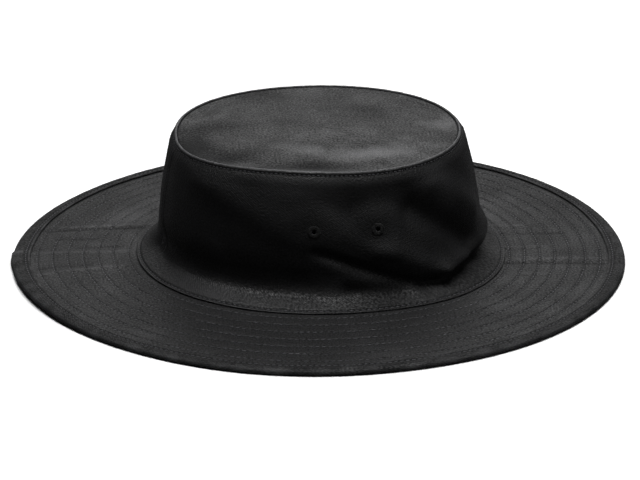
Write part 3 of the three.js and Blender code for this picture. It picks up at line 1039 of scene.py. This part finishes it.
wall = smooth_line(BAND_LINE, 1.25)
outer = [point for point in wall if point[1] < WALL_TOP and point[0] < FINE_LIP - 0.1]
outer += [point for point in smooth_line(BAND_LINE, 0.35) if point[0] > FINE_LIP + 0.1]
outer = BAND_TOP + [
    (half_length, height - LIP_THINNING * smoothstep(half_length, 100, 103.2))
    for half_length, height in outer
]
inner = [point for point in inner_line(wall, CROWN_CLOTH)[::-2] if point[1] < WALL_TOP + 1.4]


def wall_half_length(height):
    """Half length of the wall's outer side at a height."""
    index = next(i for i in range(1, len(wall)) if wall[i][1] <= height)
    (far, low), (near, high) = wall[index], wall[index - 1]
    return blend(far, near, (height - low) / (high - low))


def eyelet_seat(angle, height):
    """Matrix of an eyelet in metres: its centre on the wall's outer side, and +Z straight out."""
    half_length = wall_half_length(height)
    centre = band_place(half_length, angle, height, 1.0)
    around = band_place(half_length, angle + 1, height, 1.0) - centre
    up = band_place(wall_half_length(height + 1), angle, height + 1, 1.0) - centre
    out = around.cross(up).normalized()
    turned = Matrix((around.normalized(), out.cross(around).normalized(), out)).transposed().to_4x4()
    return Matrix.Translation(centre * MM) @ turned @ Matrix.Scale(MM, 4)


def cut_hole(bm, seat, radius):
    """Cuts a round hole through both sides of a piece and closes its rim."""
    back = seat.inverted()
    cut = []
    for face in bm.faces:
        place = back @ face.calc_center_median()
        if place.xy.length < radius and abs(place.z) < 2 * CROWN_CLOTH:
            cut.append(face)
    bmesh.ops.delete(bm, geom=cut, context="FACES")
    bmesh.ops.bridge_loops(bm, edges=[edge for edge in bm.edges if edge.is_boundary])


def sew_up(bm, line, angle):
    """Adds a row of stitches up the wall at an angle, one bead from each point to the next."""
    turned = Matrix.Rotation(math.radians(angle), 4, "Z")
    for lower, upper in zip(line, line[1:]):
        run = Vector(upper) - Vector(lower)
        middle = (Vector(upper) + Vector(lower)) / 2
        bead = Matrix.Translation((middle.x, 0, middle.y))
        bead @= Matrix.Rotation(math.atan2(run.x, run.y), 4, "Y")
        bead @= Matrix.Diagonal((THREAD_RADIUS, THREAD_RADIUS, run.length * FELL_STITCH_SHOWN / 2, 1))
        bmesh.ops.create_uvsphere(
            bm, u_segments=BEAD_SEGMENTS[0], v_segments=BEAD_SEGMENTS[1], radius=1, matrix=turned @ bead,
        )


for eyelet in EYELETS:
    eyelet["seat"] = eyelet_seat(eyelet["angle"], EYELET_HEIGHT)

panels = []
for name, start in (("side_panel_right", BACK_SEAM), ("side_panel_left", FRONT_SEAM)):
    bm = spin_cloth(cloth_outline(outer, inner), PANEL_STEPS, start + SEAM_GAP, 180 - 2 * SEAM_GAP)
    lay_round_uv(bm, BAND_RADIUS, start)
    shape_cloth(bm, band_place, band_wear_and_highlights)
    for eyelet in EYELETS:
        if name.split("_")[-1] in eyelet["name"]:
            cut_hole(bm, eyelet["seat"], EYELET_CUT)
    panels.append(finish_piece(name + "_cloth", bm, crown_drill, "crown_drill", name))

bm = bmesh.new()
sew_round(bm, TIP_ROW["half_length"], TIP_ROW["height"], TIP_STITCH)
sew_round(bm, LIP_ROW, LIP_THREAD_HEIGHT, LIP_STITCH)
go_round(bm, 360)
stitched = [point for point in smooth_line(BAND_LINE, FELL_STITCH) if 8 < point[1] < 72.5]
for seam in (BACK_SEAM, FRONT_SEAM):
    for row in FELL_ROWS:
        sew_up(bm, stitched, seam + math.degrees(row["at"] / BAND_RADIUS))
shape_cloth(bm, band_place)
crown_stitches = finish_piece("crown_stitches", bm, thread, "thread")

# Eyelets: worked in thread round a hole in the panel, so that close wraps cover its edge inside
# and out. EYELET_RING is the section of the thread's bed as (radius, height over the cloth).
EYELET_RING = [
    (3.35, -0.05), (3.45, 0.06), (3.2, 0.16), (2.4, 0.22), (1.5, 0.2), (1.15, 0.1), (1.05, -0.2),
    (1.05, -1.0), (1.15, -1.3), (1.5, -1.45), (2.4, -1.42), (3.2, -1.36), (3.45, -1.26), (3.35, -1.15),
    (2.2, -1.1), (2.2, -0.1),
]
EYELET_STEPS = 40
WRAPS = 44
WRAP_SIZE = (1.3, 0.17, 0.17)
WRAP_RADIUS = 2.35
WRAP_HEIGHTS = (0.18, -1.38)
EYELET_UNEVEN = (0.07, 0.35)

eyelet_thread = sewing_thread("polyester_thread_black_matt", "0d0d0e", roughness=0.75)


def wrapped_eyelet(seat):
    """An eyelet on its seat, each a little uneven in its own way."""
    bm = bmesh.new()
    corners = [bm.verts.new((radius, 0, height)) for radius, height in EYELET_RING]
    edges = [bm.edges.new(pair) for pair in zip(corners, corners[1:] + corners[:1])]
    bmesh.ops.spin(
        bm, geom=corners + edges, cent=(0, 0, 0), axis=(0, 0, 1), angle=math.tau, steps=EYELET_STEPS,
        use_merge=True,
    )
    bmesh.ops.recalc_face_normals(bm, faces=bm.faces)
    for height in WRAP_HEIGHTS:
        wrap = Matrix.Translation((WRAP_RADIUS, 0, height)) @ Matrix.Diagonal((*WRAP_SIZE, 1))
        repeat_round(bm, wrap, WRAPS, math.tau, (6, 5))
    for vert in bm.verts:
        turn = math.atan2(vert.co.y, vert.co.x)
        uneven = 1 + rough(math.cos(turn), math.sin(turn), *EYELET_UNEVEN, seat[0][3] * 900)
        vert.co.xy *= blend(1, uneven, smoothstep(vert.co.xy.length, 1.5, 3.5))
        vert.co = seat @ vert.co
    return bm


for panel, hand in zip(panels, ("right", "left")):
    own = [crown_stitches] if hand == "right" else []
    for eyelet in EYELETS:
        if hand in eyelet["name"]:
            bm = wrapped_eyelet(eyelet["seat"])
            own.append(finish_piece(eyelet["name"] + "_wraps", bm, eyelet_thread, "thread", eyelet["name"]))

# Crown tip: an oval of drill that closes the top, sewn to the band by a seam whose allowance lies
#  under its edge. It is a little domed and dented, mottled, with painted highlights and duller patches.
TIP_DOME = 3.2
TIP_EDGE = BAND_LINE[0][1] + GAP + CROWN_CLOTH
TIP_STEPS = 544
SEAM_ALLOWANCE = {"width": 8, "step": 0.75, "spread": 4.2}
SEAM_ALLOWANCE_UNEVEN = (0.35, 30, 3.8)
TIP_GATHER_DEPTH = 0.1
TIP_SLACK = (0.8, 21, 9.4)
TIP_MOTTLE = (0.22, 8, 2.9)
TIP_FINE_MOTTLE = (0.12, 3.5, 6.3)

# Dents (depth < 0) and swellings (depth > 0), by angle and share of the way out from the middle.
TIP_DENTS = table(
    "angle share depth spread",
    (-172, 0.64, -1.6, 11),
    (-155, 0.72, 1.5, 12),
    (-75, 0.45, -1.1, 18),
    (-62, 0.8, 0.9, 10),
    (-100, 0.74, 0.6, 9),
    (10, 0.6, -1.1, 15),
    (75, 0.5, -0.8, 13),
)

# Patches where a highlight is painted on the top, paler and smoother (wear > 0), or where it is made
#  rougher and duller (wear < 0), by place in plan.
TIP_HIGHLIGHT_AND_DULL_PATCHES = table(
    "at wide deep wear",
    ((-12, -34), 12, 7, 0.36),
    ((25, -40), 20, 7, 0.8),
    ((43, -31), 10, 6, 0.26),
    ((69, 3), 9, 9, 0.36),
    ((-61, 19), 12, 5, 0.13),
    ((-8, 54), 9, 9, 0.12),
    ((8, -14), 16, 8, 0.06),
    ((-72, -18), 12, 18, -1.8),
    ((-59, 6), 12, 5, -0.7),
    ((-53, -38), 18, 8, -1.1),
    ((-28, 51), 15, 12, -0.6),
    ((27, 19), 13, 11, -0.6),
    ((-11, -56), 26, 5, -1.1),
    ((56, 33), 16, 9, -0.4),
    ((74, -22), 6, 10, -0.5),
    ((-16, 6), 14, 10, -0.25),
)


def tip_wear_and_highlights(half_length, angle, height, side):
    """Wear and painted light of the tip's outer side: mottled, with painted highlights and rougher,
    duller patches.
    """
    if side < 0.5:
        return 0
    place = crown_place(half_length, angle, height)
    wear = rough(place.x, place.y, *TIP_MOTTLE) + rough(place.x, place.y, *TIP_FINE_MOTTLE)
    for patch in TIP_HIGHLIGHT_AND_DULL_PATCHES:
        off = place.xy - Vector(patch["at"])
        wear += patch["wear"] * bell(math.hypot(off.x / patch["wide"], off.y / patch["deep"]), 1)
    return wear


def tip_place(half_length, angle, height, side):
    """Place on the tip: slack, dented, lower just inside its seam allowance and pulled at its seam."""
    place = crown_place(half_length, angle, height)
    around, inside = math.radians(angle) * TIP_HALF_LENGTH, TIP_HALF_LENGTH - half_length
    fade = smoothstep(inside, 0, 12)
    for dent in TIP_DENTS:
        centre = crown_place(TIP_HALF_LENGTH * dent["share"], dent["angle"], height)
        place.z += fade * dent["depth"] * bell((place.xy - centre.xy).length, dent["spread"])
    place.z += rough(place.x, place.y, *TIP_SLACK) * smoothstep(inside, 0, 6)
    step = SEAM_ALLOWANCE["step"] + rough(around, 0, *SEAM_ALLOWANCE_UNEVEN)
    place.z -= step * bell(inside - SEAM_ALLOWANCE["width"], SEAM_ALLOWANCE["spread"])
    place.z += TIP_GATHER_DEPTH * gathers(around, 5.9) * (1 - smoothstep(inside, 0.5, 4))
    return place


# The tip's rings are closer together toward its edge, where it turns down into the seam.
TIP_RINGS = [
    0, 0.03, 0.07, 0.12, 0.18, 0.24, 0.3, 0.36, 0.42, 0.48, 0.54, 0.6, 0.65, 0.7, 0.75, 0.79, 0.83, 0.87,
    0.9, 0.93, 0.955, 0.97, 0.98, 0.99, 0.996,
]
tip_line = []
for share in TIP_RINGS:
    dome = TIP_DOME * (1 - share ** 2) ** 1.5 - 0.3 * smoothstep(share, 0.97, 1.0)
    tip_line.append((TIP_HALF_LENGTH * share, TIP_EDGE + dome))
outline = [(*point, 1.0) for point in tip_line]
outline += [(TIP_HALF_LENGTH - 0.1, TIP_EDGE - 0.6, 0.7), (TIP_HALF_LENGTH - 0.2, TIP_EDGE - 0.95, 0.3)]
outline += [(half_length, height - CROWN_CLOTH, 0.0) for half_length, height in tip_line[::-2]]
bm = spin_cloth(outline, TIP_STEPS, closed=False)
shape_cloth(bm, tip_place, tip_wear_and_highlights)
lay_flat_uv(bm)
tip = finish_piece("crown_tip_cloth", bm, crown_drill, "crown_drill", "crown_tip")
